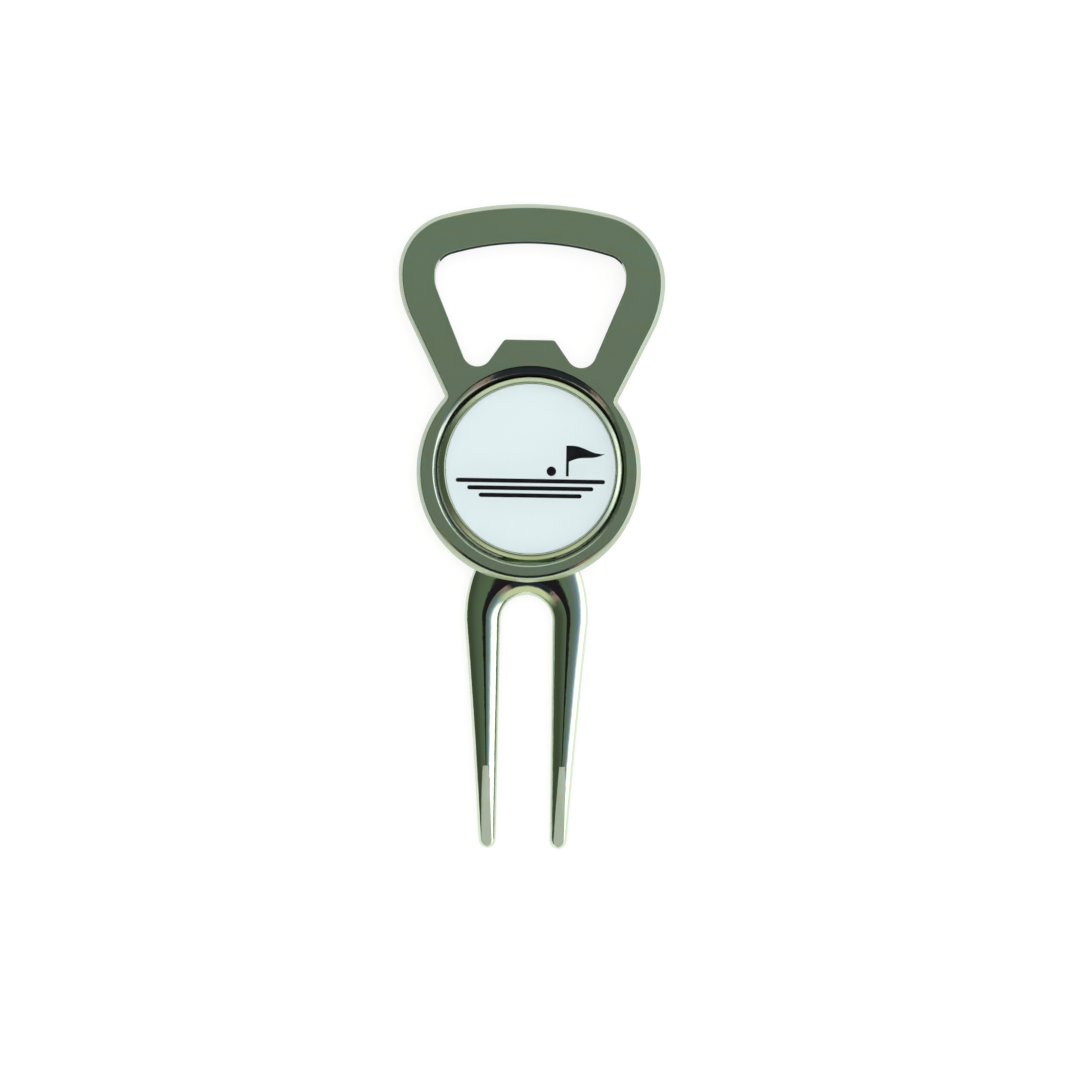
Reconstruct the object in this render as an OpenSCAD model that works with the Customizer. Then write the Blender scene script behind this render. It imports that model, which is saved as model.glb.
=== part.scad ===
// Divot repair tool: a plated one-piece casting with two prongs, a bottle opener loop and a round
// cup, and a ball marker that a magnet holds in the cup.
// The tool lies on its back on z = 0. The cup is centred on x = y = 0 and the opener points to +Y.

/* [Plate] */
// Thickness of the ring and of the opener loop
plate_t = 4; // [3:0.1:5]
// Outer radius of the ring round the cup
ring_r = 14.6; // [14:0.1:16]
// Width of the steep bevel round every outer edge
bevel_w = 0.6; // [0.3:0.05:0.8]
// Depth of that bevel down the side
bevel_h = 0.75; // [0.6:0.05:1.2]

/* [Opener loop] */
// Highest point of the loop's outer edge above the cup's centre
loop_top_y = 34.8; // [33:0.1:37]
// Radius of the crowned top edge
loop_crown_r = 44; // [40:1:60]
// Half of the loop's greatest width
loop_half_w = 17.35; // [16.5:0.05:18]
// Radius of the loop's shoulders
shoulder_r = 7.8; // [6:0.1:9]
// Radius of the flanks under the shoulders
flank_r = 14; // [12:0.5:18]
// Lean of the loop's straight sides from the centre line
side_lean = 26.2; // [24:0.1:28]

/* [Opener window] */
// Highest point of the window above the cup's centre
window_top_y = 29.9; // [29.5:0.1:30.2]
// Radius of the window's crowned top edge
window_crown_r = 36; // [30:1:45]
// Half of the window's greatest width
window_half_w = 12.45; // [12.2:0.05:12.6]
// Radius of the window's upper corners
window_corner_r = 2.9; // [2.5:0.1:3.3]
// Radius of the window's flanks under those corners
window_flank_r = 4; // [3:0.5:5]
// Length of the upright stretch between each corner and its flank
window_flank_drop = 0.6; // [0.3:0.1:1]
// Lean of the window's straight sides
window_lean = 22.4; // [22:0.1:23]
// Centre of the round pocket beside the tooth, from the centre line
pocket_x = 6.75; // [6.65:0.05:6.9]
// Height of that centre above the cup's centre
pocket_y = 15.5; // [15.4:0.05:15.8]
// Radius of the pocket
pocket_r = 1.95; // [1.7:0.05:2]
// How far the window lies to the left of the loop's centre line
window_shift = 0.17; // [0:0.01:0.3]

/* [Cap lifter tooth] */
// Height of the tooth's flat top above the cup's centre
tooth_y = 17.1; // [16.5:0.1:18]
// Half of the distance between the tooth's corner centres
tooth_half_w = 3; // [2.9:0.05:3.2]
// Radius of the tooth's corners
tooth_corner_r = 0.5; // [0.3:0.05:0.7]
// Lean of the tooth's sloping sides
tooth_lean = 34.9; // [34:0.1:36]

/* [Cup] */
// Radius of the cup that holds the ball marker
cup_r = 12.27; // [12.24:0.01:12.4]
// Where the cup lies to the right of the ring's centre
cup_dx = 0.12; // [0.1:0.01:0.14]
// Where the cup lies towards the opener
cup_dy = 0.19; // [0.16:0.01:0.22]
// Depth of the cup below the ring's face
cup_depth = 2; // [1.8:0.05:2.2]
// Width of the chamfer round the cup's mouth
mouth_w = 0.36; // [0.2:0.02:0.5]
// Depth of that chamfer
mouth_h = 0.34; // [0.2:0.02:0.5]
// Radius of the fingernail relief at the ring's face
relief_r = 12.46; // [12.4:0.01:12.6]
// How far the relief is moved towards the opener
relief_shift = 1.26; // [1:0.02:1.4]
// Depth of the relief, a shallow cone that breaks the cup's edge
relief_depth = 0.27; // [0.2:0.01:0.4]
// Slope of the relief's wall
relief_slope = 12; // [10:1:20]

/* [Prongs] */
// Width of the slot between the prongs at its closed end
slot_w = 6.76; // [6.5:0.02:7]
// Closed end of the slot below the cup's centre
slot_top_y = 16.1; // [15.6:0.1:16.6]
// Length from the cup's centre to the prong tips
tip_y = 49.2; // [47:0.1:52]
// Width of a prong beside the slot's closed end
prong_root_w = 4.67; // [4.2:0.01:5]
// Thickness of a prong there
prong_root_t = 2.9; // [2.6:0.1:3.1]
// Width of a prong just above its rounded tip
prong_end_w = 2.38; // [2:0.02:2.8]
// Thickness of a prong there
prong_end_t = 2.1; // [1.9:0.1:2.3]
// Where the flat on the front of each tip begins, below the cup's centre
flat_top_y = 38.4; // [36:0.1:40]
// Slope of that flat towards the tip
flat_slope = 2.4; // [2:0.1:3]

/* [Ball marker] */
// Radius of the marker disc
marker_r = 12; // [11.9:0.01:12]
// Height of the rim above the marker's underside
marker_t = 1.9; // [1.7:0.05:2]
// Thickness of the pan inside the rim
pan_t = 0.9; // [0.7:0.05:1.1]
// Width of the raised rim
rim_w = 0.86; // [0.8:0.02:0.9]
// Fall of the rim's top towards its outside edge
rim_drop = 0.42; // [0.3:0.02:0.5]
// Radius of the printed label and of the clear dome on it
label_r = 11.06; // [11:0.01:11.08]
// Thickness of the label
label_t = 0.16; // [0.1:0.02:0.2]
// Where the marker lies in the cup, to the right of the centre
marker_dx = 0.24; // [0:0.01:0.24]
// Where the marker lies in the cup, towards the opener
marker_dy = 0.34; // [0:0.01:0.34]

/* [Magnet] */
// Radius of the disc magnet under the marker
magnet_r = 5; // [4:0.5:6]
// Thickness of the magnet
magnet_t = 1.1; // [0.9:0.05:1.2]

/* [Hidden] */
$fn = 96;
hull_fn = 32;
arc_step = 6;
past = 1;

half_t = plate_t / 2;
cup_floor = plate_t - cup_depth;

magnet_gap = 0.05;
glue_t = 0.08;
magnet_play = 0.08;
magnet_top = cup_floor - magnet_gap;
magnet_z = magnet_top - magnet_t;
pocket_floor = magnet_z - glue_t;

marker_rest_gap = 0.03;
rim_crest = 0.14;
marker_z = cup_floor + marker_rest_gap;
pan_top = marker_z + pan_t;
rim_inner_r = marker_r - rim_w;
rim_top = marker_z + marker_t;
adhesive_t = 0.06;
label_z = pan_top + adhesive_t;
print_z = label_z + label_t;
print_t = 0.03;
dome_edge_t = 0.35;
dome_rise = 0.5;
dome_ball_r = (label_r * label_r + dome_rise * dome_rise) / (2 * dome_rise);
dome_ball_y = dome_edge_t + dome_rise - dome_ball_r;
dome_steps = 6;

// Points along an arc from angle a0 to angle a1, about arc_step apart.
function arc(cx, cy, r, a0, a1) =
    let (n = max(2, ceil(abs(a1 - a0) / arc_step)))
    [for (i = [0 : n]) let (a = a0 + (a1 - a0) * i / n) [cx + r * cos(a), cy + r * sin(a)]];

// Right half of the loop's outline from its foot in the ring up to the centre line.
shoulder_x = loop_half_w - shoulder_r;
crown_y = loop_top_y - loop_crown_r;
crown_reach = loop_crown_r - shoulder_r;
shoulder_y = crown_y + sqrt(crown_reach * crown_reach - shoulder_x * shoulder_x);
shoulder_end = 90 - asin(shoulder_x / crown_reach);
side_end_x = loop_half_w - flank_r + flank_r * cos(side_lean);
side_end_y = shoulder_y - flank_r * sin(side_lean);
foot_y = 8;
foot_x = side_end_x - (side_end_y - foot_y) * tan(side_lean);
loop_half = concat(
    [[0, foot_y], [foot_x, foot_y]],
    arc(loop_half_w - flank_r, shoulder_y, flank_r, -side_lean, 0),
    arc(shoulder_x, shoulder_y, shoulder_r, 0, shoulder_end),
    arc(0, crown_y, loop_crown_r, shoulder_end, 90));

// Right half of the window's outline from the tooth round to the centre line at the top.
corner_x = window_half_w - window_corner_r;
window_crown_y = window_top_y - window_crown_r;
window_reach = window_crown_r - window_corner_r;
corner_y = window_crown_y + sqrt(window_reach * window_reach - corner_x * corner_x);
corner_end = 90 - asin(corner_x / window_reach);
window_half = concat(
    [[0, tooth_y]],
    arc(tooth_half_w, tooth_y - tooth_corner_r, tooth_corner_r, 90, 90 - tooth_lean - 15),
    arc(pocket_x, pocket_y, pocket_r, tooth_lean - 180, -window_lean),
    arc(window_half_w - window_flank_r, corner_y - window_flank_drop, window_flank_r,
        -window_lean, 0),
    arc(corner_x, corner_y, window_corner_r, 0, corner_end),
    arc(0, window_crown_y, window_crown_r, corner_end, 90));

// Half of the dome's section, from its axis round to its crown.
dome_half = concat(
    [[0, 0], [label_r, 0]],
    [for (i = [0 : dome_steps]) let (x = label_r * (1 - i / dome_steps))
        [x, dome_ball_y + sqrt(dome_ball_r * dome_ball_r - x * x)]]);

slot_r = slot_w / 2;
slot_y = -slot_top_y - slot_r;
slot_lap = 0.03;
slice_t = 0.5;
root_x = slot_r - slot_lap + prong_root_w / 2;
end_y = -46.3;
end_x = slot_r + 0.13 + prong_end_w / 2;
tip_r = 1.05;
tip_ball_x = 4.62;
neck_y = -12.6;
neck_x = 4.9;
neck_w = 4.1;
bridge_half_w = 5.5;
bridge_t = 2.2;
flat_taper = (flat_top_y + slot_y) / (slot_y - end_y);
flat_z = half_t + (prong_root_t + (prong_end_t - prong_root_t) * flat_taper) / 2;

module both_sides() {
    children();
    mirror([1, 0, 0]) children();
}

// The loop's outline drawn in by inset, from rise above the back to rise below the front.
module plate_slab(inset, rise) {
    translate([0, 0, rise]) linear_extrude(plate_t - 2 * rise)
        offset(delta = -inset) both_sides() polygon(loop_half);
}

module loop_blank() {
    hull() {
        plate_slab(0, bevel_h);
        plate_slab(bevel_w, 0);
    }
}

module ring_blank() {
    rotate_extrude() polygon([
        [0, 0], [ring_r - bevel_w, 0], [ring_r, bevel_h],
        [ring_r, plate_t - bevel_h], [ring_r - bevel_w, plate_t], [0, plate_t]]);
}

module window_cut() {
    translate([-window_shift, 0, -past]) linear_extrude(plate_t + 2 * past)
        both_sides() polygon(window_half);
}

// A thin oval slice across a prong, centred on the casting's mid plane.
module prong_slice(x, y, w, t) {
    translate([x, y, half_t]) rotate([90, 0, 0]) scale([w, t, 1])
        cylinder(d = 1, h = slice_t, center = true, $fn = hull_fn);
}

module prong() {
    hull() {
        prong_slice(root_x, slot_y, prong_root_w, prong_root_t);
        prong_slice(end_x, end_y, prong_end_w, prong_end_t);
        translate([tip_ball_x, tip_r - tip_y, half_t]) scale([1, 1, 0.9])
            sphere(tip_r, $fn = hull_fn);
    }
    hull() {
        prong_slice(neck_x, neck_y, neck_w, prong_root_t);
        prong_slice(root_x, slot_y + 1.8, prong_root_w, prong_root_t);
        prong_slice(root_x, slot_y, prong_root_w, prong_root_t);
    }
}

// The web that joins the prongs, arched over the slot's closed end.
module bridge() {
    difference() {
        translate([-bridge_half_w, slot_y, half_t - bridge_t / 2])
            cube([2 * bridge_half_w, neck_y - slot_y, bridge_t]);
        translate([0, slot_y, -past]) cylinder(r = slot_r, h = plate_t + 2 * past);
    }
}

// Takes the front off each prong tip in one plane that leans towards the tip.
module tip_flat_cut() {
    translate([0, -flat_top_y, flat_z]) rotate([flat_slope, 0, 0])
        translate([-ring_r, -ring_r, 0]) cube([2 * ring_r, 2 * ring_r, plate_t]);
}

module cup_cut() {
    translate([cup_dx, cup_dy, cup_floor]) cylinder(r = cup_r, h = plate_t);
    translate([cup_dx, cup_dy, plate_t - mouth_h])
        cylinder(r1 = cup_r, r2 = cup_r + mouth_w * (mouth_h + past) / mouth_h, h = mouth_h + past);
}

// A cone set off from the cup's centre, so that a fingernail gets under the marker's far edge.
module nail_relief_cut() {
    translate([cup_dx, relief_shift, plate_t - relief_depth])
        cylinder(r1 = relief_r - relief_depth / tan(relief_slope),
            r2 = relief_r + past / tan(relief_slope), h = relief_depth + past);
}

module tool_body() {
    color("darkgray") difference() {
        union() {
            ring_blank();
            loop_blank();
            difference() {
                union() {
                    both_sides() prong();
                    bridge();
                }
                tip_flat_cut();
            }
        }
        window_cut();
        cup_cut();
        nail_relief_cut();
        translate([0, 0, pocket_floor]) cylinder(r = magnet_r + magnet_play, h = plate_t);
    }
}

module magnet() {
    color("silver") translate([0, 0, magnet_z]) cylinder(r = magnet_r, h = magnet_t);
}

module magnet_glue() {
    color("khaki") translate([0, 0, pocket_floor]) cylinder(r = magnet_r, h = glue_t);
}

// A disc on the marker's own axis, from z up.
module marker_disc(r, z, h) {
    translate([marker_dx, marker_dy, z]) cylinder(r = r, h = h);
}

// A pan with a raised rim, whose top slopes out from a narrow crest.
module marker_base() {
    color("lightgray") translate([marker_dx, marker_dy, 0]) rotate_extrude() polygon([
        [0, marker_z], [marker_r, marker_z], [marker_r, rim_top - rim_drop],
        [rim_inner_r + rim_crest, rim_top], [rim_inner_r, rim_top - rim_crest],
        [rim_inner_r, pan_top], [0, pan_top]]);
}

module label_adhesive() {
    color("wheat") marker_disc(label_r, pan_top, adhesive_t);
}

module marker_label() {
    color("white") marker_disc(label_r, label_z, label_t);
}

// A plain pennant on a pole beside a ball, over three mown stripes.
module print_shape() {
    pole_x = 4.6;
    pole_w = 0.42;
    pole_top = 3.1;
    pole_foot = -0.9;
    ball_r = 0.62;
    stripe_h = 0.55;
    translate([pole_x, pole_foot]) square([pole_w, pole_top - pole_foot]);
    polygon([[pole_x, pole_top], [pole_x + 4.6, pole_top - 1.05], [pole_x, pole_top - 2.1]]);
    translate([2.6, pole_foot + ball_r]) circle(ball_r);
    for (i = [0 : 2]) {
        half_l = 9.7 - 1.5 * i;
        y = -1.85 - 0.95 * i;
        translate([-half_l, y]) square([2 * half_l, stripe_h]);
    }
}

module print_solid() {
    translate([marker_dx, marker_dy, print_z]) linear_extrude(print_t) print_shape();
}

module marker_print() {
    color("black") print_solid();
}

module marker_dome() {
    color("aliceblue", 0.4) difference() {
        translate([marker_dx, marker_dy, print_z]) rotate_extrude() polygon(dome_half);
        print_solid();
    }
}

tool_body();
magnet();
magnet_glue();
marker_base();
label_adhesive();
marker_label();
marker_print();
marker_dome();
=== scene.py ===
import math

import bpy
import numpy as np
from mathutils.geometry import tessellate_polygon
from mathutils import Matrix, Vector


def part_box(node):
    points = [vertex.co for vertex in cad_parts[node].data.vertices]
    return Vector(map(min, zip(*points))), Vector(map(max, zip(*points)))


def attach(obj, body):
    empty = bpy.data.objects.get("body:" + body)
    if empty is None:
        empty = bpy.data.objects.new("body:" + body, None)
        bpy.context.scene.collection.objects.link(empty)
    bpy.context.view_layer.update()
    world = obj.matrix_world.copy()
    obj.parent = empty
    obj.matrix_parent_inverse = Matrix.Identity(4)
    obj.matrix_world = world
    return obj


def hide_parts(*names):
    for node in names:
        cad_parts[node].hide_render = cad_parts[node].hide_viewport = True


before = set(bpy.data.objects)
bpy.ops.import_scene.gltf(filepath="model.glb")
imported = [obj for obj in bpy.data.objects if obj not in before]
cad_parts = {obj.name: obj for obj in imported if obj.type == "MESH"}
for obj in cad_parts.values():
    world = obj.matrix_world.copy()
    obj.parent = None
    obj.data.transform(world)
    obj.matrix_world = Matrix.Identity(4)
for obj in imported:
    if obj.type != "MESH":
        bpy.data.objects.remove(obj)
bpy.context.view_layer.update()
print("frame loaded:", sorted(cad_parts))

mm = 0.001  # shapes are worked out in millimetres and become metres in addPiece


def nodeBox(node):
    low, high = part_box(node)
    return np.array(low) / mm, np.array(high) / mm


bodyLow, bodyHigh = nodeBox("tool_body")
baseLow, baseHigh = nodeBox("marker_base")
labelLow, labelHigh = nodeBox("marker_label")
domeLow, domeHigh = nodeBox("marker_dome")
magnetLow, magnetHigh = nodeBox("magnet")
markerX, markerY = (baseLow[:2] + baseHigh[:2]) / 2  # the marker's own axis


def addPiece(name, verts, faces, body, replaced=(), slot=None, smooth=None):
    mesh = bpy.data.meshes.new(name)
    mesh.from_pydata([tuple(v) for v in np.asarray(verts) * mm], [], faces)
    mesh.validate()
    mesh.update()
    piece = bpy.data.objects.new(name, mesh)
    bpy.context.scene.collection.objects.link(piece)
    if smooth is not None:
        smoothBelow(piece, smooth)
    if body:
        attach(piece, body)
    if replaced:
        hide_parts(*replaced)
    return piece


def smoothBelow(piece, degrees):
    piece.data.shade_smooth()
    piece.data.set_sharp_from_angle(angle=math.radians(degrees))


def bezier(a, b, c, d, n):
    t = np.linspace(0, 1, n + 1)[:, None]
    a, b, c, d = (np.array(p, float) for p in (a, b, c, d))
    return (1 - t) ** 3 * a + 3 * (1 - t) ** 2 * t * b + 3 * (1 - t) * t**2 * c + t**3 * d


def outline(arcs, step):
    # arcs are (centre x, centre y, radius, start, end) in degrees, joined by straight lines.
    # Each row is x, y and the unit normal on the right of the way round.
    runs = []
    for cx, cy, r, start, end in arcs:
        n = max(2, round(math.radians(abs(end - start)) * r / step))
        a = np.radians(np.linspace(start, end, n + 1))
        out = np.stack([np.cos(a), np.sin(a)], 1)
        runs.append(np.hstack([np.array([cx, cy]) + r * out, out * np.sign(end - start)]))
    rows = []
    for i, run in enumerate(runs):
        before = runs[i - 1][-1]
        along = run[0, :2] - before[:2]
        length = np.linalg.norm(along)
        if length > 0.3 * step:
            t = np.linspace(0, 1, max(2, round(length / step)) + 1)[1:-1, None]
            side = np.array([along[1], -along[0]]) / length
            rows.append(np.hstack([before[:2] + t * along, np.repeat(side[None], len(t), 0)]))
        skip = 1 if length <= 0.3 * step else 0
        rows.append(run[skip:])
    return np.vstack(rows)


def mirrored(arcs):
    # the left half of an outline, from its right half
    return [(-cx, cy, r, 180 - end, 180 - start) for cx, cy, r, start, end in reversed(arcs)]


class Shell:
    # collects loops of points and the faces between them
    def __init__(self):
        self.verts, self.faces, self.count = [], [], 0

    def loop(self, points):
        points = np.asarray(points, float)
        self.verts.append(points)
        first = self.count
        self.count += len(points)
        return np.arange(first, self.count)

    def bridge(self, upper, lower):
        for a, b, c, d in zip(upper, np.roll(upper, -1), np.roll(lower, -1), lower):
            self.faces.append((int(a), int(d), int(c), int(b)))

    def strips(self, loops):
        for upper, lower in zip(loops, loops[1:]):
            self.bridge(upper, lower)

    def cap(self, loops, up):
        # fills the flat region inside the first loop and outside the others
        points = np.vstack(self.verts)
        rings = [[tuple(points[i]) for i in ids] for ids in loops]
        ids = np.concatenate(loops)
        for a, b, c in tessellate_polygon(rings):
            a, b, c = int(ids[a]), int(ids[b]), int(ids[c])
            u, v = points[b] - points[a], points[c] - points[a]
            turns = u[0] * v[1] - u[1] * v[0]
            self.faces.append((a, b, c) if (turns > 0) == up else (a, c, b))

    def fan(self, ids, centre, up):
        pole = int(self.loop([centre])[0])
        for a, b in zip(ids, np.roll(ids, -1)):
            self.faces.append((int(a), int(b), pole) if up else (int(b), int(a), pole))


def offsetLoop(shell, edge, inset, z):
    # inset and z are single numbers, or one number for each point of the edge
    moved = edge[:, :2] - edge[:, 2:] * np.reshape(inset, (-1, 1))
    return shell.loop(np.column_stack([moved, np.ones(len(edge)) * z]))


def turned(shell, profile, cx, cy, columns):
    # loops round one axis for a list of (radius, z)
    a = np.linspace(0, 2 * math.pi, columns, endpoint=False)
    circle = np.stack([np.cos(a), np.sin(a)], 1)
    loops = []
    for r, z in profile:
        loops.append(shell.loop(np.column_stack([[cx, cy] + circle * r, np.full(columns, z)])))
    return loops


def closedLathe(name, profile, centre, body, columns=192, **rest):
    # profile runs from the bottom, round the outside, to the top; both ends close on the axis
    shell = Shell()
    loops = turned(shell, profile, centre[0], centre[1], columns)
    for lower, upper in zip(loops, loops[1:]):
        shell.bridge(upper, lower)
    shell.fan(loops[0], (centre[0], centre[1], profile[0][1]), False)
    shell.fan(loops[-1], (centre[0], centre[1], profile[-1][1]), True)
    return addPiece(name, np.vstack(shell.verts), shell.faces, body, **rest)


plate = {
    "front": bodyHigh[2],  # height of the front face
    "ringR": 14.6,
    "edgeW": (0.6, 1.03),  # width of the bevelled edge, at the opener and at the prong end
    "edgeR": (0.12, 0.73),  # how far the bevel rounds into the front face, at both
    "edgeTilt": 47.0,
    "edgeTurn": (-7.0, -12.0),  # where one changes into the other
    "edgeFoot": 0.12,  # rounding from the bevel down to the side
    "backW": 0.45,  # softer edge round the back
    "backH": 0.45,
    "notchR": 0.35,  # inside corner between ring and loop
    "step": 0.3,  # spacing of points along the outlines
    "border": 0.12,  # extra loop of faces beside each rounded edge
}

loopShape = {
    "top": bodyHigh[1],
    "crownR": 44.0,
    "halfW": bodyHigh[0],
    "shoulderR": (9.2, 7.8),  # right and left; the right one is a little slacker
    "flankR": 14.0,
    "lean": 26.2,
}

windowShape = {
    "top": 29.9,
    "crownR": 36.0,
    "halfW": 12.45,
    "cornerR": 2.9,
    "flankR": 4.0,
    "flankDrop": 0.6,  # upright stretch between the corner and the flank
    "lean": 22.4,
    "pocket": (6.75, 15.5, 1.95),
    "toothY": 17.1,
    "toothHalfW": 3.0,
    "toothR": 0.5,
    "toothLean": 34.9,
    "edge": 0.08,  # rounding of the window's edges
    "shiftX": -0.17,
}

cup = {
    "centre": (0.12, 0.19),
    "r": 12.27,
    "floor": bodyHigh[2] - 2.0,
    "edgeW": 0.36,  # chamfer round the cup's mouth
    "edgeH": 0.34,
    "reliefR": 12.46,  # fingernail relief: a scoop set off towards the opener
    "reliefX": 0.17,
    "reliefY": 1.26,
    "reliefDepth": 0.25,
    "reliefBlend": 0.6,  # extra width over which the chamfer turns into the relief
    "ledge": 0.25,  # level step between the relief and the cup's wall
    "pocketR": (magnetHigh[0] - magnetLow[0]) / 2 + 0.08,
    "pocketFloor": magnetLow[2] - 0.08,
    "columns": 288,
}


def crownedCorner(shape, cornerR):
    # centre of the corner arc that runs into the crowned top, and where it meets it
    x = shape["halfW"] - cornerR
    crownY = shape["top"] - shape["crownR"]
    reach = shape["crownR"] - cornerR
    y = crownY + math.sqrt(reach**2 - x**2)
    return x, y, crownY, 90 - math.degrees(math.asin(x / reach))


def plateHalf(shoulderR):
    s, ringR, rho = loopShape, plate["ringR"], plate["notchR"]
    x, y, crownY, meet = crownedCorner(s, shoulderR)
    lean = math.radians(s["lean"])
    flankX = s["halfW"] - s["flankR"]
    foot = np.array([flankX + s["flankR"] * math.cos(lean), y - s["flankR"] * math.sin(lean)])
    out = np.array([math.cos(lean), -math.sin(lean)])
    along = np.array([math.sin(lean), math.cos(lean)])
    start = foot + rho * out  # the notch's centre lies on the side line moved out by its radius
    b, c = start @ along, start @ start - (ringR + rho) ** 2
    centre = start + along * (-b - math.sqrt(b * b - c)) if b < 0 else start + along * (
        -b + math.sqrt(b * b - c))
    turn = math.degrees(math.atan2(centre[1], centre[0]))
    return [
        (0, 0, ringR, -90, turn),
        (centre[0], centre[1], rho, turn + 180, 180 - s["lean"]),
        (flankX, y, s["flankR"], -s["lean"], 0),
        (x, y, shoulderR, 0, meet),
        (0, crownY, s["crownR"], meet, 90),
    ]


def plateOutline():
    right, left = loopShape["shoulderR"]
    return outline(plateHalf(right) + mirrored(plateHalf(left)), plate["step"])


def windowOutline():
    s = windowShape
    x, y, crownY, meet = crownedCorner(s, s["cornerR"])
    px, py, pr = s["pocket"]
    half = [
        (0, crownY, s["crownR"], 90, meet),
        (x, y, s["cornerR"], meet, 0),
        (s["halfW"] - s["flankR"], y - s["flankDrop"], s["flankR"], 0, -s["lean"]),
        (px, py, pr, -s["lean"], s["toothLean"] - 180),
        (s["toothHalfW"], s["toothY"] - s["toothR"], s["toothR"], s["toothLean"], 90),
    ]
    shape = outline(half + mirrored(half), plate["step"])
    shape[:, 0] += s["shiftX"]
    return shape


def rolledEdge(width, height, n):
    # (inset, drop) along a quarter oval from the flat face down to the side
    a = np.radians(np.linspace(0, 90, n + 1))
    return np.column_stack([width * (1 - np.sin(a)), height * (1 - np.cos(a))])


def bevelledEdge():
    # (inset, drop) from the front face round to the side, at the opener and at the prong end
    tilt = math.radians(plate["edgeTilt"])
    foot = plate["edgeFoot"]
    both = []
    for width, r in zip(plate["edgeW"], plate["edgeR"]):
        rows = [(width - r * math.sin(a), r * (1 - math.cos(a))) for a in np.linspace(0, tilt, 9)]
        inset, drop = rows[-1]
        low = foot * (1 - math.sin(tilt))
        drop += (inset - low) * math.tan(tilt)
        rows.append((low + 0.5 * (inset - low), (rows[-1][1] + drop) / 2))
        for a in np.linspace(tilt, math.pi / 2, 5):
            rows.append((foot * (1 - math.sin(a)), drop + foot * (math.cos(tilt) - math.cos(a))))
        both.append(np.array(rows))
    return both


def cupLoops(shell):
    # the chamfer round the cup's mouth widens into the fingernail relief beside the opener
    a = np.linspace(0, 2 * math.pi, cup["columns"], endpoint=False)
    circle = np.stack([np.cos(a), np.sin(a)], 1)
    centre = np.array(cup["centre"])
    off = np.array([cup["reliefX"], cup["reliefY"]]) - centre
    along = circle @ off
    reliefR = along + np.sqrt(cup["reliefR"] ** 2 - off @ off + along**2)
    plain = cup["r"] + cup["edgeW"]
    rim = 0.5 * (reliefR + plain + np.sqrt((reliefR - plain) ** 2 + 0.004))
    share = np.clip((rim - plain) / cup["reliefBlend"], 0, 1)  # 0 at the chamfer, 1 in the relief
    share = share * share * (3 - 2 * share)
    edge = cup["r"] + 0.02 + (cup["ledge"] - 0.02) * share
    top = plate["front"]
    rows = [(rim + plate["border"], np.full(len(a), top))]
    for t in np.linspace(0, 1, 15):
        drop = (1 - share) * cup["edgeH"] * t**1.15 + share * cup["reliefDepth"] * t * t
        rows.append((rim + (edge - rim) * t, top - drop))
    low = cup["floor"]
    full = np.full(len(a), 1.0)
    lip = rows[-1][1]
    rows.append((edge - 0.12 * (edge - cup["r"]), lip - 0.002))
    rows.append((full * (cup["r"] + 0.005), lip - 0.005))
    rows.append((full * cup["r"], lip - 0.07))
    rows.append((full * cup["r"], full * (low + 0.5)))
    for r, z in bezier((cup["r"], low + 0.3), (cup["r"], low + 0.1), (cup["r"] - 0.1, low),
                       (cup["r"] - 0.3, low), 6):
        rows.append((full * r, full * z))
    rings = [shell.loop(np.column_stack([centre + circle * r[:, None], z])) for r, z in rows]
    pr, pf, edge = cup["pocketR"], cup["pocketFloor"], 0.06
    for r, z in [(pr + 2 * edge, low), (pr + edge, low), (pr, low - edge), (pr, pf), (pr - edge, pf)]:
        rings.append(shell.loop(np.column_stack([circle * r, full * z])))
    return rings


def makePlate():
    shell = Shell()
    edge, window = plateOutline(), windowOutline()
    top = plate["front"]
    start, end = plate["edgeTurn"]
    share = np.clip((edge[:, 1] - start) / (end - start), 0, 1)
    share = share * share * (3 - 2 * share)
    narrow, wide = plate["edgeW"]
    rows = [(narrow + (wide - narrow) * share + plate["border"], top)]
    for upper, lower in zip(*bevelledEdge()):
        inset, drop = upper[:, None] + (lower - upper)[:, None] * share
        rows.append((inset, top - drop))
    rows += [(i, d) for i, d in rolledEdge(plate["backW"], plate["backH"], 8)[::-1]]
    rows += [(plate["backW"] + plate["border"], 0.0)]
    outer = [offsetLoop(shell, edge, i, z) for i, z in rows]
    shell.strips(outer)
    e = windowShape["edge"]
    rounding = rolledEdge(e, 1.2 * e, 7)
    rows = [(e + 0.1, top)] + [(i, top - d) for i, d in rounding]
    rows += [(i, d) for i, d in rounding[::-1]] + [(e + 0.1, 0.0)]
    inner = [offsetLoop(shell, window, i, z) for i, z in rows]
    shell.strips(inner)
    bowl = cupLoops(shell)
    for upper, lower in zip(bowl, bowl[1:]):
        shell.bridge(lower, upper)
    shell.fan(bowl[-1], (0, 0, cup["pocketFloor"]), True)
    shell.cap([outer[0], inner[0], bowl[0]], True)
    shell.cap([outer[-1], inner[-1]], False)
    return addPiece("plateBlank", np.vstack(shell.verts), shell.faces, None)


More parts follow.
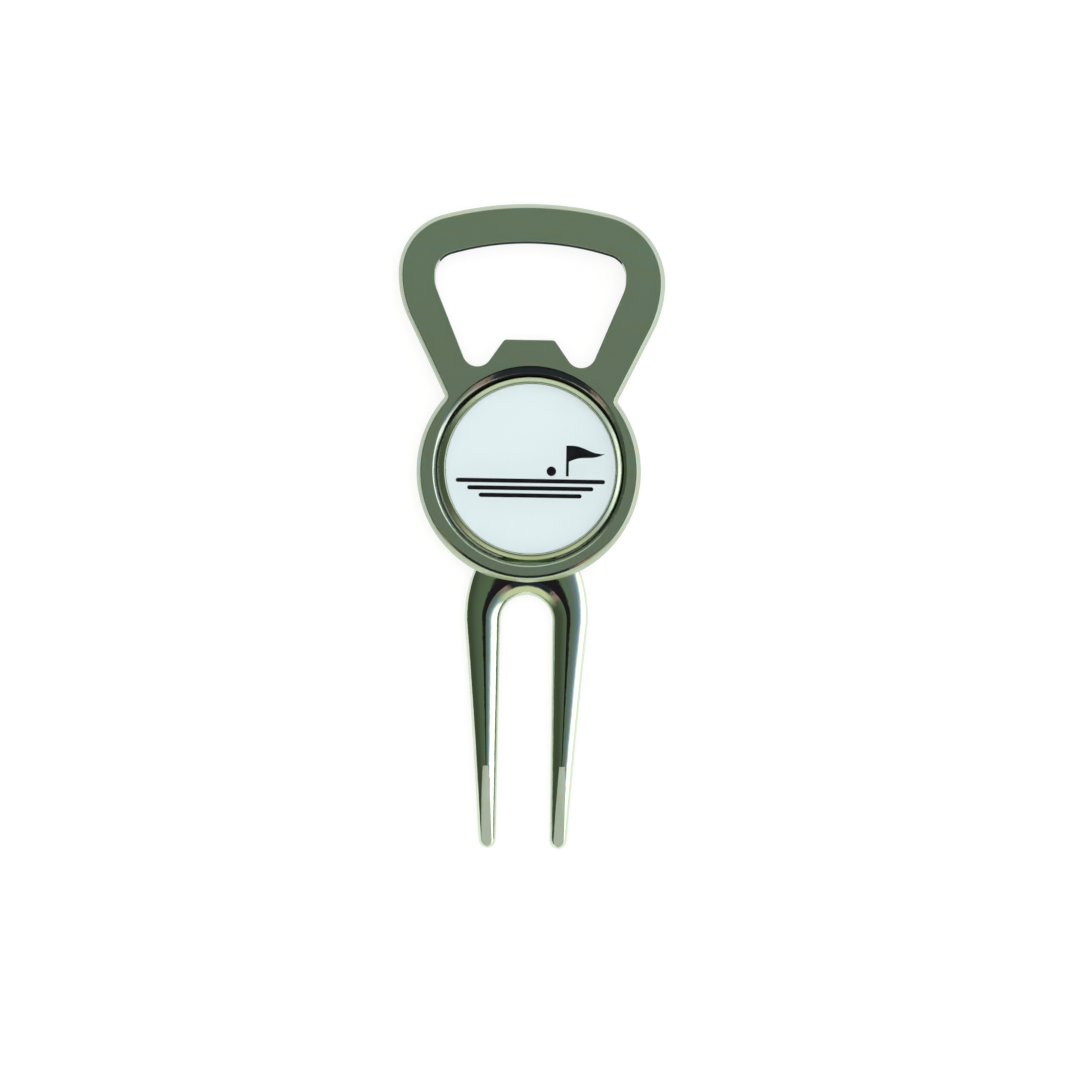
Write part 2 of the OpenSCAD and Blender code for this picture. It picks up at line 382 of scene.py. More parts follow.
fork = {
    "mid": bodyHigh[2] / 2,  # height of the casting's parting plane
    "slotTop": -16.1,
    "slotR": 3.38,
    "slotFlare": 0.13,  # each side of the slot leans out by this much down to the tips
    "rootHalfW": 8.05,
    "endY": -46.3,
    "endHalfW": 5.89,
    "tip": bodyLow[1],
    "tipR": 1.08,
    "rootT": 2.9,
    "endT": 2.1,
    "ridge": 1.95,  # distance of the rounded ridge from the slot
    "innerPower": (1.6, 1.4),  # fullness of the section towards the slot, at root and end
    "outerPower": (2.0, 1.7),
    "flatTop": -38.4,  # where the flat ground on the front of each tip begins
    "flatSlope": 2.4,
    "flatDepth": 0.07,
    "waist": 0.09,  # how far the outside draws in between root and tip
    "shoulderRise": 8.3,  # how far the outside climbs above the slot's end, inside the ring
    "shoulderStart": 0.6,
    "shoulderCurve": 0.0324,
    "wide": 5.5,  # sections wider than this keep the full ridge
    "rows": 56,
}


def forkSection(w, t, ridge, powers):
    # (distance from the slot, height from the parting plane) round one section
    # two quarter ovals of different fullness meet at a rounded ridge
    h = t / 2
    upper = []
    for a in np.radians(np.linspace(0, 180, 41))[:-1]:
        c = math.cos(a)
        power = powers[0] if c > 0 else powers[1]
        reach = ridge if c > 0 else w - ridge
        along = abs(c) ** (2 / power) * math.copysign(reach, c)
        upper.append((ridge - along, h * math.sin(a) ** (2 / power)))
    lower = [(w, 0.0)] + [(s, -z) for s, z in reversed(upper[1:])]
    return np.array(upper + lower)


def forkStations():
    # right half, from the tip up the prong and round the arch to the centre line:
    # inner point, outer point, thickness, taper from root to end, shrink towards the tip
    slotY = fork["slotTop"] - fork["slotR"]
    length = slotY - fork["endY"]
    tipY = fork["tip"] + fork["tipR"]
    stations = []

    def prong(y, shrink):
        t = (slotY - y) / length
        inner = fork["slotR"] + fork["slotFlare"] * t
        outer = fork["rootHalfW"] + (fork["endHalfW"] - fork["rootHalfW"]) * t
        outer -= fork["waist"] * math.sin(math.pi * min(t, 1))
        thick = fork["rootT"] + (fork["endT"] - fork["rootT"]) * t
        stations.append(((inner, y), (outer, y), thick, min(t, 1), shrink))

    for a in np.radians(np.linspace(88, 8, 11)):
        prong(tipY - fork["tipR"] * math.sin(a), math.cos(a))
    for y in np.linspace(tipY, slotY, fork["rows"]):
        prong(y, 1)
    for phi in np.linspace(0, 90, 31)[1:]:
        a = math.radians(phi)
        inner = (fork["slotR"] * math.cos(a), slotY + fork["slotR"] * math.sin(a))
        climb = min(phi / 45, 1)
        y = slotY + fork["shoulderRise"] * climb
        past = max(y - slotY - fork["shoulderStart"], 0)
        x = fork["rootHalfW"] - fork["shoulderCurve"] * past**2
        x *= min(1, (90 - phi) / 45)
        stations.append((inner, (x, y), fork["rootT"], 0, 1))
    return stations


def makeFork():
    half = forkStations()
    flip = [((-i[0], i[1]), (-o[0], o[1]), t, f, s) for i, o, t, f, s in half[:-1]]
    shell = Shell()
    loops = []
    for inner, outer, thick, taper, shrink in half + flip[::-1]:
        inner, outer = np.array(inner), np.array(outer)
        w = np.linalg.norm(outer - inner)
        ridge = min(fork["ridge"], (0.5 - 0.08 * (1 - taper)) * w)
        powers = [a + (b - a) * taper for a, b in (fork["innerPower"], fork["outerPower"])]
        section = forkSection(w, thick, ridge if w < fork["wide"] else fork["ridge"], powers)
        section = (section - [w / 2, 0]) * shrink + [w / 2, 0]
        at = inner + section[:, :1] * (outer - inner) / w
        loops.append(shell.loop(np.column_stack([at, fork["mid"] + section[:, 1]])))
    for one, other in zip(loops, loops[1:]):
        shell.bridge(one, other)
    tips = [np.vstack(shell.verts)[ids].mean(0) for ids in (loops[0], loops[-1])]
    for tip in tips:
        tip[1] = fork["tip"]
    shell.fan(loops[0], tips[0], True)
    shell.fan(loops[-1], tips[1], False)
    return addPiece("forkBlank", np.vstack(shell.verts), shell.faces, None)


def makeTipCutter():
    # a slab whose underside is the flat ground on the front of both tips
    slope = math.tan(math.radians(fork["flatSlope"]))
    taper = (fork["slotTop"] - fork["slotR"] - fork["flatTop"]) / (
        fork["slotTop"] - fork["slotR"] - fork["endY"])
    topZ = fork["mid"] + 0.5 * (fork["rootT"] + (fork["endT"] - fork["rootT"]) * taper)
    topZ -= fork["flatDepth"]
    verts = []
    for y in (fork["tip"] - 3, fork["flatTop"]):
        z = topZ + (y - fork["flatTop"]) * slope
        verts += [(-12, y, z), (12, y, z), (12, y, z + 4), (-12, y, z + 4)]
    faces = [(0, 1, 2, 3), (7, 6, 5, 4), (0, 4, 5, 1), (1, 5, 6, 2), (2, 6, 7, 3), (3, 7, 4, 0)]
    return addPiece("tipCutter", verts, faces, None)


def combine(piece, other, operation):
    cut = piece.modifiers.new(operation, "BOOLEAN")
    cut.operation, cut.object, cut.solver = operation, other, "EXACT"
    graph = bpy.context.evaluated_depsgraph_get()
    done = bpy.data.meshes.new_from_object(piece.evaluated_get(graph))
    piece.modifiers.clear()
    piece.data = done
    bpy.data.objects.remove(other)


def makeToolBody():
    body = makePlate()
    prongs = makeFork()
    combine(prongs, makeTipCutter(), "DIFFERENCE")
    combine(body, prongs, "UNION")
    body.name = "casting"
    smoothBelow(body, 28)
    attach(body, "tool")
    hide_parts("tool_body")
    return body


casting = makeToolBody()
print("casting:", len(casting.data.polygons), "faces")


magnetShape = {
    "edge": 0.12,  # rounding of the plated edges
}


def roundedDisc(low, high, edge):
    # half section of a disc with rounded edges, from the bottom axis round to the top
    r, z0, z1 = (high[0] - low[0]) / 2, low[2], high[2]
    under = bezier((r - edge, z0), (r - edge / 2, z0), (r, z0 + edge / 2), (r, z0 + edge), 4)
    over = bezier((r, z1 - edge), (r, z1 - edge / 2), (r - edge / 2, z1), (r - edge, z1), 4)
    return [(r - 1.6 * edge, z0), *under, *over, (r - 1.6 * edge, z1)]


def makeMagnet():
    profile = roundedDisc(magnetLow, magnetHigh, magnetShape["edge"])
    return closedLathe("discMagnet", profile, (0, 0), "tool", columns=96, smooth=30,
                       replaced=["magnet"], slot="magnet_plate")


marker = {
    "r": (baseHigh[0] - baseLow[0]) / 2,
    "under": baseLow[2],
    "rim": baseHigh[2],
    "pan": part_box("label_adhesive")[0][2] / mm,  # floor that the label is stuck to
    "rimW": 0.86,
    "crest": 0.14,  # width of the rim's crest
    "rimDrop": 0.42,  # the rim's top falls by this much to the outside
    "foot": 0.25,  # rounding under the outside edge
    "labelEdge": 0.03,
    "domeSink": 0.02,  # the dome wets the label, so its foot is just below the label's top
    "domeSide": 0.32,  # height at which the dome starts to curve over
}


def makeMarkerBase():
    # a pan with a raised rim; the rim's top slopes out from a narrow crest
    r, top, pan = marker["r"], marker["rim"], marker["pan"]
    foot, inner, crest = marker["foot"], marker["r"] - marker["rimW"], marker["crest"]
    shoulder = top - marker["rimDrop"]
    profile = [(r - foot - 0.3, marker["under"])]
    profile += list(bezier((r - foot, marker["under"]), (r - foot / 2, marker["under"]),
                           (r, marker["under"] + foot / 2), (r, marker["under"] + foot), 6))
    profile += [(r, shoulder - 0.3)]
    profile += list(bezier((r, shoulder - 0.2), (r, shoulder - 0.02), (r - 0.06, shoulder + 0.05),
                           (r - 0.14, shoulder + 0.1), 6))
    profile += list(bezier((inner + crest + 0.1, top - 0.03), (inner + crest, top + 0.01),
                           (inner + 0.02, top + 0.01), (inner, top - 0.14), 8))
    profile += [(inner, top - 0.3), (inner, pan + 0.1), (inner - 0.02, pan), (inner - 0.2, pan)]
    return closedLathe("markerDisc", profile, (markerX, markerY), "marker", columns=256, smooth=50,
                       replaced=["marker_base"], slot="marker_steel")


def makeLabel():
    profile = roundedDisc(labelLow, labelHigh, marker["labelEdge"])
    return closedLathe("labelDisc", profile, (markerX, markerY), "marker", columns=192, smooth=40,
                       replaced=["marker_label"], slot="label")


def makeDome():
    r = (domeHigh[0] - domeLow[0]) / 2
    low, high = domeLow[2] - marker["domeSink"], domeHigh[2]
    side = low + marker["domeSide"]
    profile = [(r - 0.2, low), (r - 0.02, low), (r, low + 0.03), (r, side)]
    profile += list(bezier((r, side), (r - 0.1, side + 0.2), (0.62 * r, high), (0.3, high), 24)[1:])
    return closedLathe("resinDome", profile, (markerX, markerY), "marker", columns=192, smooth=40,
                       replaced=["marker_dome"], slot="clear_dome")


motif = {
    "pole": (4.6, -0.9, 3.1, 0.36),  # x, foot, top, width
    "pennantL": 4.7,
    "pennantH": 2.1,
    "wave": 0.16,
    "ball": (2.7, -0.28, 0.62),
    "stripeY": -1.58,
    "stripeH": 0.55,
    "stripeGap": 0.95,
    "stripeL": 9.7,
    "stripeStep": 1.5,
    "stripes": 3,
    "ink": 0.02,  # thickness of the ink
    "inkSink": 0.005,
}


def stripe(y, halfL, h):
    # a bar with round ends
    cap = np.radians(np.linspace(-90, 90, 13))
    right = np.stack([halfL - h / 2 + h / 2 * np.cos(cap), y + h / 2 * np.sin(cap)], 1)
    return np.vstack([right, np.stack([-right[:, 0], 2 * y - right[:, 1]], 1)])


def motifShapes():
    x, foot, top, w = motif["pole"]
    tip = np.linspace(0, 1, 25)
    swing = motif["wave"] * np.sin(2 * math.pi * tip)
    upper = np.stack([x + w + tip * motif["pennantL"], top - tip * motif["pennantH"] / 2 + swing], 1)
    lower = np.stack([upper[:, 0], top - motif["pennantH"] * (1 - tip / 2) + swing], 1)
    bx, by, br = motif["ball"]
    a = np.radians(np.linspace(0, 360, 49)[:-1])
    shapes = [
        np.vstack([[(x, foot), (x + w, foot)], lower[:-1], upper[::-1], [(x, top)]]),
        np.stack([bx + br * np.cos(a), by + br * np.sin(a)], 1),
    ]
    for i in range(motif["stripes"]):
        shapes.append(stripe(motif["stripeY"] - i * motif["stripeGap"],
                             motif["stripeL"] - i * motif["stripeStep"], motif["stripeH"]))
    return shapes


def makePrint():
    shell = Shell()
    low = labelHigh[2] - motif["inkSink"]
    for shape in motifShapes():
        shape = shape + [markerX, markerY]
        lower = shell.loop(np.column_stack([shape, np.full(len(shape), low)]))
        upper = shell.loop(np.column_stack([shape, np.full(len(shape), low + motif["ink"])]))
        shell.bridge(upper, lower)
        shell.cap([upper], True)
        shell.cap([lower], False)
    return addPiece("labelInk", np.vstack(shell.verts), shell.faces, "marker",
                    replaced=["marker_print"], slot="ink")


discMagnet = makeMagnet()
markerDisc = makeMarkerBase()
labelDisc = makeLabel()
labelInk = makePrint()
resinDome = makeDome()
print("marker and magnet made")


def newGroup(name, inputs, outputs):
    group = bpy.data.node_groups.new(name, "ShaderNodeTree")
    for label, kind, value in inputs:
        socket = group.interface.new_socket(label, in_out="INPUT", socket_type=kind)
        if value is not None:
            socket.default_value = value
    for label, kind in outputs:
        group.interface.new_socket(label, in_out="OUTPUT", socket_type=kind)
    return group, group.nodes.new("NodeGroupInput"), group.nodes.new("NodeGroupOutput")


def add(tree, kind, **settings):
    # a node with its own settings; a key that starts with a capital is a socket
    node = tree.nodes.new(kind)
    for key, value in settings.items():
        if key[0].isupper():
            node.inputs[key.replace("_", " ")].default_value = value
        else:
            setattr(node, key, value)
    return node


def maths(tree, operation, a, b=None, c=None, clamp=False):
    node = add(tree, "ShaderNodeMath", operation=operation, use_clamp=clamp)
    for i, value in enumerate((a, b, c)):
        if value is None:
            continue
        if isinstance(value, (int, float)):
            node.inputs[i].default_value = value
        else:
            tree.links.new(value, node.inputs[i])
    return node.outputs[0]


def ramp(tree, source, low, high, toLow=0.0, toHigh=1.0):
    node = add(tree, "ShaderNodeMapRange", From_Min=low, From_Max=high, To_Min=toLow, To_Max=toHigh)
    tree.links.new(source, node.inputs["Value"])
    return node.outputs["Result"]


def blendColours(tree, factor, a, b, mode="MIX"):
    node = add(tree, "ShaderNodeMix", data_type="RGBA", blend_type=mode)
    if isinstance(factor, (int, float)):
        node.inputs[0].default_value = factor
    else:
        tree.links.new(factor, node.inputs[0])
    for socket, value in ((node.inputs[6], a), (node.inputs[7], b)):
        if isinstance(value, tuple):
            socket.default_value = value
        else:
            tree.links.new(value, socket)
    return node.outputs[2]


def makeBrushing():
    # fine strokes left by polishing: stretched noise along X at an angle, as height and mask
    group, inn, out = newGroup("brushing", [
        ("Fineness", "NodeSocketFloat", 900.0), ("Stretch", "NodeSocketFloat", 14.0),
        ("Angle", "NodeSocketFloat", 0.0)],
        [("Height", "NodeSocketFloat"), ("Mask", "NodeSocketFloat")])
    coords = add(group, "ShaderNodeTexCoord")
    spin = add(group, "ShaderNodeVectorRotate", rotation_type="Z_AXIS")
    group.links.new(coords.outputs["Object"], spin.inputs["Vector"])
    group.links.new(inn.outputs["Angle"], spin.inputs["Angle"])
    scale = add(group, "ShaderNodeCombineXYZ")
    group.links.new(inn.outputs["Fineness"], scale.inputs["Y"])
    group.links.new(inn.outputs["Fineness"], scale.inputs["Z"])
    group.links.new(maths(group, "DIVIDE", inn.outputs["Fineness"], inn.outputs["Stretch"]),
                    scale.inputs["X"])
    sized = add(group, "ShaderNodeVectorMath", operation="MULTIPLY")
    group.links.new(spin.outputs["Vector"], sized.inputs[0])
    group.links.new(scale.outputs["Vector"], sized.inputs[1])
    noise = add(group, "ShaderNodeTexNoise", Scale=1.0, Detail=5.0, Roughness=0.62)
    group.links.new(sized.outputs["Vector"], noise.inputs["Vector"])
    group.links.new(noise.outputs["Fac"], out.inputs["Height"])
    group.links.new(ramp(group, noise.outputs["Fac"], 0.52, 0.72), out.inputs["Mask"])
    return group


def makeMottle():
    # slow cloudy change over a surface, 0 to 1
    group, inn, out = newGroup("mottle", [("Size", "NodeSocketFloat", 0.004)],
                               [("Cloud", "NodeSocketFloat")])
    coords = add(group, "ShaderNodeTexCoord")
    noise = add(group, "ShaderNodeTexNoise", Detail=3.0, Roughness=0.55)
    group.links.new(coords.outputs["Object"], noise.inputs["Vector"])
    group.links.new(maths(group, "DIVIDE", 1.0, inn.outputs["Size"]), noise.inputs["Scale"])
    group.links.new(ramp(group, noise.outputs["Fac"], 0.3, 0.7), out.inputs["Cloud"])
    return group


brushing, mottle = makeBrushing(), makeMottle()


def newMaterial(name):
    material = bpy.data.materials.new(name)
    material.use_nodes = True
    tree = material.node_tree
    return material, tree, tree.nodes["Principled BSDF"]


def place(tree, group, **values):
    node = add(tree, "ShaderNodeGroup")
    node.node_tree = group
    for key, value in values.items():
        node.inputs[key].default_value = value
    return node


def bump(tree, shader, height, strength, distance):
    node = add(tree, "ShaderNodeBump", Strength=strength, Distance=distance)
    tree.links.new(height, node.inputs["Height"])
    tree.links.new(node.outputs["Normal"], shader.inputs["Normal"])


nickel = {
    "colour": (0.62, 0.67, 0.57, 1),
    "olive": (0.63, 0.66, 0.49, 1),
    "teal": (0.57, 0.70, 0.62, 1),
    # painted shade: the bevel's nickel colour is darkened to 0.74
    "bevelPaintedShade": (0.74, 0.74, 0.74, 1),
    # painted shade: the chamfer round the cup's mouth is darkened
    "mouthPaintedShade": (0.84, 0.86, 0.90, 1),
    # painted light: the flat faces' nickel is made lighter and greener
    "brushedPaintedLight": (1.02, 1.14, 1.02, 1),
    "floorPaintedLight": (1.45, 1.4, 1.5, 1),  # the cup's raw floor, made lighter as painted light against the shade inside the cup
    "polished": (0.06, 0.12),  # roughness of the cast and plated skin
    "bevel": (0.17, 0.25),  # the opener's bevelled edge
    "brushed": (0.28, 0.30),  # the belt-finished faces
    "ground": (0.42, 0.55),
    "mouth": (0.24, 0.38),  # the chamfer round the cup's mouth
    "wave": 0.0016,  # size of the ripples in the polished skin
    "cloud": 0.006,  # size of the clouds of colour
}


def platedMaterial(name, roughness, strokes, groundIn=0.0, ripple=0.0, paintedLightAndShade=None):
    # nickel plate; the finish under it shows as ripples or strokes and in the roughness
    # strokes are fineness, stretch, angle and height; groundIn takes away some of the metal;
    # the last argument multiplies the colour, lighter for painted light and darker for painted shade
    material, tree, shader = newMaterial(name)
    shader.inputs["Metallic"].default_value = 1.0 - groundIn
    cloud = place(tree, mottle, Size=nickel["cloud"]).outputs["Cloud"]
    streaks = place(tree, brushing, Fineness=800.0, Stretch=7.0, Angle=0.12).outputs["Height"]
    tint = blendColours(tree, ramp(tree, streaks, 0.35, 0.65), nickel["olive"], nickel["teal"])
    tint = blendColours(tree, cloud, nickel["colour"], tint)
    # painted light and shade: this part's nickel colour is multiplied lighter or darker
    if paintedLightAndShade:
        tint = blendColours(tree, 1.0, tint, paintedLightAndShade, "MULTIPLY")
    tree.links.new(tint, shader.inputs["Base Color"])
    marks = place(tree, brushing, Fineness=strokes[0], Stretch=strokes[1], Angle=strokes[2])
    rough = ramp(tree, marks.outputs["Mask"], 0, 1, *roughness)
    tree.links.new(rough, shader.inputs["Roughness"])
    height = marks.outputs["Height"]
    if ripple:
        height = place(tree, mottle, Size=nickel["wave"]).outputs["Cloud"]
    bump(tree, shader, height, ripple or strokes[3], 0.00002)
    return material


def rimMaterial():
    material, tree, shader = newMaterial("polishedRim")
    shader.inputs["Metallic"].default_value = 1.0
    cloud = place(tree, mottle, Size=0.003).outputs["Cloud"]
    colour = blendColours(tree, cloud, (0.67, 0.73, 0.58, 1), (0.60, 0.66, 0.50, 1))
    tree.links.new(colour, shader.inputs["Base Color"])
    tree.links.new(ramp(tree, cloud, 0, 1, 0.23, 0.31), shader.inputs["Roughness"])
    return material


def plainMaterial(name, one, two, size, roughness, metallic=0.0, specular=0.5):
    material, tree, shader = newMaterial(name)
    shader.inputs["Specular IOR Level"].default_value = specular
    shader.inputs["Metallic"].default_value = metallic
    cloud = place(tree, mottle, Size=size).outputs["Cloud"]
    tree.links.new(blendColours(tree, cloud, one, two), shader.inputs["Base Color"])
    tree.links.new(ramp(tree, cloud, 0, 1, *roughness), shader.inputs["Roughness"])
    return material


def resinMaterial():
    material, tree, shader = newMaterial("clearResin")
    shader.inputs["Base Color"].default_value = (0.97, 1.0, 1.0, 1)
    shader.inputs["Transmission Weight"].default_value = 1.0
    shader.inputs["IOR"].default_value = 1.5
    shader.inputs["Roughness"].default_value = 0.02
    path = add(tree, "ShaderNodeLightPath")
    clear = add(tree, "ShaderNodeBsdfTransparent", Color=(0.97, 1.0, 1.0, 1))
    either = add(tree, "ShaderNodeMixShader")
    tree.links.new(path.outputs["Is Shadow Ray"], either.inputs[0])
    tree.links.new(shader.outputs[0], either.inputs[1])
    tree.links.new(clear.outputs[0], either.inputs[2])
    tree.links.new(either.outputs[0], tree.nodes["Material Output"].inputs["Surface"])
    return material


def dress(piece, material):
    piece.data.materials.clear()
    piece.data.materials.append(material)


def castingFinishes():
    return {
        "polished": platedMaterial("polishedNickel", nickel["polished"], (700.0, 1.5, 0.0, 0.0),
                                   ripple=0.45),
        # the flat faces' colour is raised as painted light
        "brushed": platedMaterial("brushedNickel", nickel["brushed"], (4200.0, 16.0, 0.12, 0.009),
                                  groundIn=0.07, paintedLightAndShade=nickel["brushedPaintedLight"]),
        "ground": platedMaterial("groundNickel", nickel["ground"], (3000.0, 12.0, 1.4, 0.2),
                                 groundIn=0.3),
        # the cup floor's colour is raised as painted light
        "cast": platedMaterial("castNickel", nickel["ground"], (1500.0, 1.2, 0.0, 0.35),
                               groundIn=0.3, paintedLightAndShade=nickel["floorPaintedLight"]),
        # the satin bevel's colour is darkened as painted shade
        "satin": platedMaterial("satinNickel", nickel["bevel"], (3600.0, 8.0, 0.12, 0.04),
                                paintedLightAndShade=nickel["bevelPaintedShade"]),
        # painted shade: a dark non-metal colour on the window's top wall stands in for the shade
        # along that edge
        "shadedWall": plainMaterial("paintedShadeWall", (0.045, 0.06, 0.055, 1), (0.03, 0.04, 0.04, 1), 0.002,
                              (0.5, 0.7), specular=0.0),
        # the chamfer's colour is darkened as painted shade
        "dull": platedMaterial("dullNickel", nickel["mouth"], (2400.0, 2.0, 0.0, 0.0), ripple=1.0,
                               paintedLightAndShade=nickel["mouthPaintedShade"]),
    }


def dressCasting():
    # polished skin all over, brushed flat faces made lighter and greener as painted light, ground
    # flats on the tips, a raw cast cup floor made lighter as painted light, a satin bevel darkened as
    # painted shade, a dark wall at the window's top that is painted shade, and a rougher chamfer
    # round the cup darkened as painted shade
    slots = {}
    for finish, material in castingFinishes().items():
        slots[finish] = len(slots)
        casting.data.materials.append(material)
    slope = math.sin(math.radians(fork["flatSlope"]))
    front = plate["front"]
    ringR = plate["ringR"] - plate["edgeW"][0] - 0.1
    bevelZ = math.cos(math.radians(plate["edgeTilt"] - 4))
    windowTop = windowShape["top"]
    for face in casting.data.polygons:
        n, (x, y, z) = face.normal, face.center / mm
        fromAxis = math.hypot(x, y)
        finish = "polished"
        if abs(n.z) > 0.9999 and (abs(z - front) < 0.01 or abs(z) < 0.01):
            finish = "brushed"
        elif n.z > 0.99 and abs(n.y + slope) < 0.01 and y < fork["flatTop"] + 1:
            finish = "ground"
        elif n.z > 0.95 and z < cup["floor"] + 0.1 and fromAxis < cup["r"]:
            finish = "cast"
        # the window's top wall gets the dark colour that is painted shade
        elif abs(n.z) < 0.2 and n.y < -0.6 and windowTop - 3 < y < windowTop + 0.2:
            finish = "shadedWall"
        elif 0.2 < n.z < 0.9999 and z > front - 1 and fromAxis > ringR and (
                y > plate["edgeTurn"][0] or (n.z < bevelZ and fromAxis > plate["ringR"] - 0.6)):
            finish = "satin"
        elif 0.2 < n.z < 0.9 and z > front - 0.5 and fromAxis < ringR and y < cup["r"]:
            finish = "dull"
        face.material_index = slots[finish]


dressCasting()
dress(discMagnet, plainMaterial("magnetPlate", (0.62, 0.62, 0.60, 1), (0.52, 0.52, 0.50, 1),
                                0.002, (0.18, 0.3), 1.0))
dress(markerDisc, rimMaterial())
dress(labelDisc, plainMaterial("whiteLabel", (0.658, 0.692, 0.718, 1), (0.648, 0.688, 0.716, 1),
                               0.006, (0.35, 0.45)))
dress(labelInk, plainMaterial("blackInk", (0.004, 0.004, 0.005, 1), (0.008, 0.008, 0.009, 1),
                              0.001, (0.4, 0.5), specular=0.1))
dress(resinDome, resinMaterial())
dress(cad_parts["magnet_glue"], plainMaterial(
    "curedGlue", (0.60, 0.52, 0.34, 1), (0.50, 0.42, 0.26, 1), 0.002, (0.3, 0.5)))
dress(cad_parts["label_adhesive"], plainMaterial(
    "adhesiveFilm", (0.78, 0.76, 0.70, 1), (0.72, 0.70, 0.64, 1), 0.002, (0.5, 0.6)))
print("materials made")


studio = {
    "floorHalf": 0.6,
    "cameraDistance": 0.5,
    "frameWidth": 0.1404,  # width of the picture at the front face
    "sensor": 36.0,
    "roll": 0.95,
    "centre": (1.618, -8.905),  # point of the tool under the middle of the picture
    "fill": 9.5,  # watts of the plain light overhead, which the plating doesn't mirror
    "fillHeight": 0.9,
    "fillSize": 0.9,
    "lens": (0.02, 0.014, 0.02),  # the dark spot straight overhead
    "lensEdge": (0.978, 0.987),  # how high it starts, as the upward part of the direction
    "sides": [  # from the left wall over the ceiling to the lamp wall on the right
        (-1.0, (0.08, 0.10, 0.06)), (-0.85, (0.07, 0.093, 0.058)), (-0.55, (0.115, 0.15, 0.10)),
        (-0.22, (0.125, 0.195, 0.11)), (0.0, (0.134, 0.252, 0.126)), (0.18, (0.144, 0.224, 0.135)),
        (0.34, (0.16, 0.21, 0.18)), (0.58, (0.21, 0.29, 0.36)), (0.71, (0.40, 0.53, 0.72)),
        (0.82, (1.7, 1.75, 1.7)), (1.0, (1.9, 1.95, 1.85)),
    ],
    "far": (0.85, 0.92, 0.80),  # pale wall beyond the opener
    "near": (0.80, 0.86, 0.60),  # pale low band on the near side
    "wallStart": (0.40, 0.72),  # how far from upright the far and near walls fade in
    "lobes": [  # colour, and the turns from the near side between which it is seen
        ((0.42, 0.28, 0.26), (-0.97, -0.86, 0.60, 0.85)),  # hands
        ((0.026, 0.032, 0.042), (-0.80, -0.68, 0.40, 0.54)),  # somebody in black
    ],
}


def makeFloor():
    mesh = bpy.data.meshes.new("paleFloor")
    s = studio["floorHalf"]
    z = -0.00002
    mesh.from_pydata([(-s, -s, z), (s, -s, z), (s, s, z), (-s, s, z)], [], [(0, 1, 2, 3)])
    floor = bpy.data.objects.new("paleFloor", mesh)
    bpy.context.scene.collection.objects.link(floor)
    material, tree, shader = newMaterial("palePaper")
    shader.inputs["Base Color"].default_value = (0.9, 0.9, 0.9, 1)
    shader.inputs["Roughness"].default_value = 0.9
    # mostly its own even white to the eye, so that only a faint shadow shows on it
    path = add(tree, "ShaderNodeLightPath")
    even = add(tree, "ShaderNodeEmission", Color=(1, 1, 1, 1), Strength=1.0)
    either = add(tree, "ShaderNodeMixShader")
    tree.links.new(maths(tree, "MULTIPLY", path.outputs["Is Camera Ray"], 0.8), either.inputs[0])
    tree.links.new(shader.outputs[0], either.inputs[1])
    tree.links.new(even.outputs[0], either.inputs[2])
    tree.links.new(either.outputs[0], tree.nodes["Material Output"].inputs["Surface"])
    floor.data.materials.append(material)


def makeFill():
    data = bpy.data.lights.new("overheadFill", "AREA")
    data.shape, data.size, data.size_y = "RECTANGLE", studio["fillSize"], studio["fillSize"]
    data.energy = studio["fill"]
    light = bpy.data.objects.new("overheadFill", data)
    light.location = (0, 0, studio["fillHeight"])
    light.visible_glossy = False
    light.visible_transmission = False
    light.visible_camera = False
    bpy.context.scene.collection.objects.link(light)


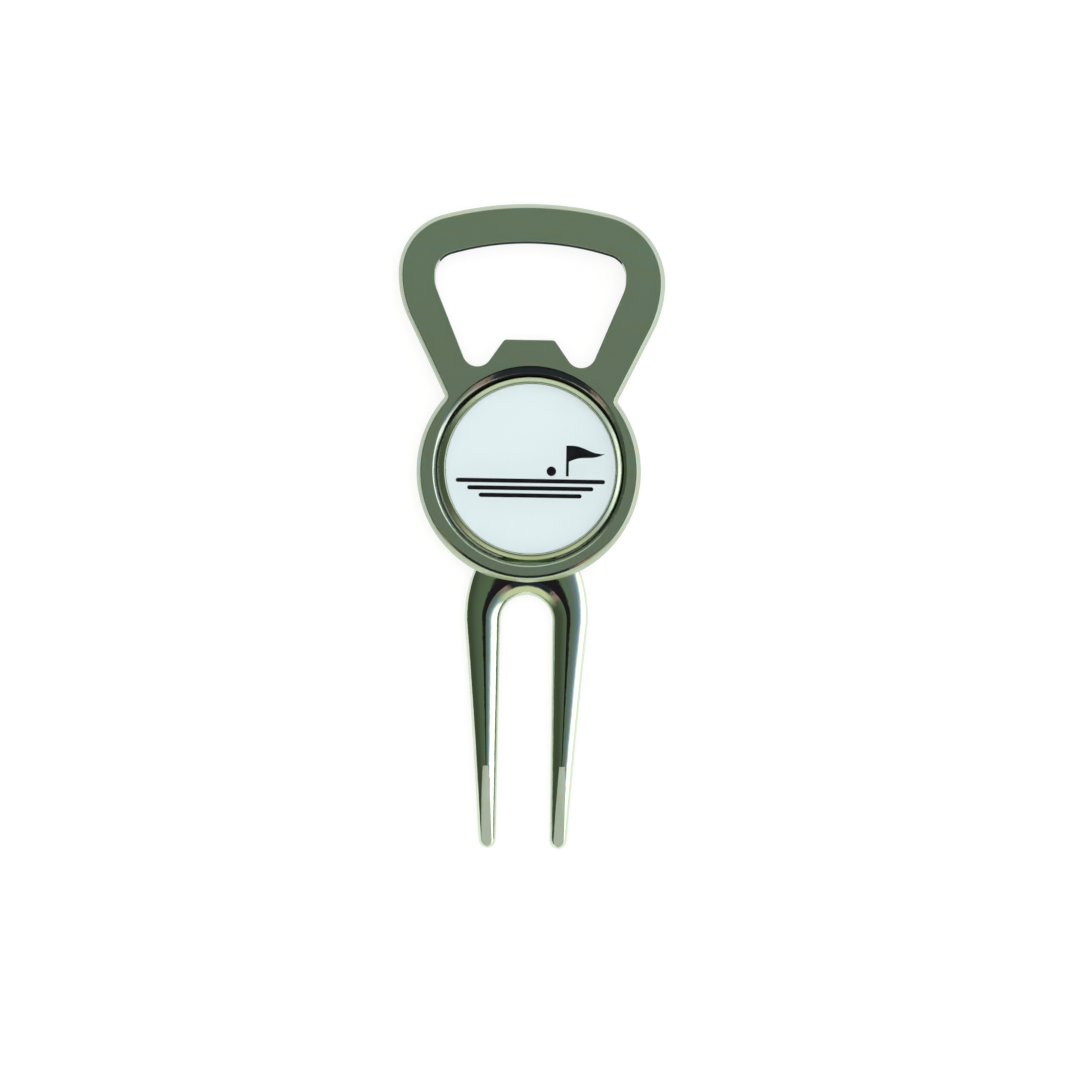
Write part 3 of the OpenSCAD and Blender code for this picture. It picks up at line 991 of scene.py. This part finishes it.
def makeWorld():
    # what the plating mirrors: a dim ceiling, a lamp wall on the right, a dark wall on the left,
    # pale walls far and near, and somebody in black who leans over the near side
    world = bpy.data.worlds.new("studio")
    bpy.context.scene.world = world
    world.use_nodes = True
    tree = world.node_tree
    back = tree.nodes["Background"]
    coords = add(tree, "ShaderNodeTexCoord")
    split = add(tree, "ShaderNodeSeparateXYZ")
    tree.links.new(coords.outputs["Generated"], split.inputs[0])
    x, y, z = split.outputs
    sides = add(tree, "ShaderNodeValToRGB")
    stops = sides.color_ramp.elements
    for at, colour in studio["sides"][1:-1]:
        stops.new((at + 1) / 2).color = (*colour, 1)
    stops[0].color = (*studio["sides"][0][1], 1)
    stops[-1].color = (*studio["sides"][-1][1], 1)
    tree.links.new(maths(tree, "MULTIPLY_ADD", x, 0.5, 0.5), sides.inputs[0])
    sky = sides.outputs["Color"]
    away = maths(tree, "SUBTRACT", 1.0, maths(tree, "ABSOLUTE", x))
    middle = ramp(tree, away, 0.05, 0.35)
    start, full = studio["wallStart"]
    far = maths(tree, "MULTIPLY", ramp(tree, y, start, full), middle)
    sky = blendColours(tree, far, sky, (*studio["far"], 1))
    near = maths(tree, "MULTIPLY", ramp(tree, y, -start, -full), middle)
    sky = blendColours(tree, near, sky, (*studio["near"], 1))
    turn = maths(tree, "ARCTAN2", x, maths(tree, "MULTIPLY", y, -1.0))
    height = maths(tree, "MULTIPLY", ramp(tree, z, 0.58, 0.70), ramp(tree, z, 0.996, 0.985))
    for colour, (left, leftIn, rightIn, right) in studio["lobes"]:
        fromLeft, fromRight = ramp(tree, turn, left, leftIn), ramp(tree, turn, right, rightIn)
        lobe = maths(tree, "MULTIPLY", maths(tree, "MULTIPLY", fromLeft, fromRight), height)
        sky = blendColours(tree, lobe, sky, (*colour, 1))
    lens = ramp(tree, z, *studio["lensEdge"])
    sky = blendColours(tree, lens, sky, (*studio["lens"], 1))
    path = add(tree, "ShaderNodeLightPath")
    sky = blendColours(tree, path.outputs["Is Camera Ray"], sky, (1.0, 1.0, 1.0, 1))
    tree.links.new(sky, back.inputs["Color"])


def makeCamera():
    data = bpy.data.cameras.new("camera")
    data.sensor_width = studio["sensor"]
    data.lens = studio["sensor"] * studio["cameraDistance"] / studio["frameWidth"]
    data.clip_start, data.clip_end = 0.01, 10
    camera = bpy.data.objects.new("camera", data)
    x, y = studio["centre"]
    camera.location = (x * mm, y * mm, plate["front"] * mm + studio["cameraDistance"])
    camera.rotation_euler = (0, 0, math.radians(studio["roll"]))
    bpy.context.scene.collection.objects.link(camera)
    bpy.context.scene.camera = camera


makeFloor()
makeWorld()
makeFill()
makeCamera()
bpy.context.scene.view_settings.view_transform = "Standard"
print("studio made")
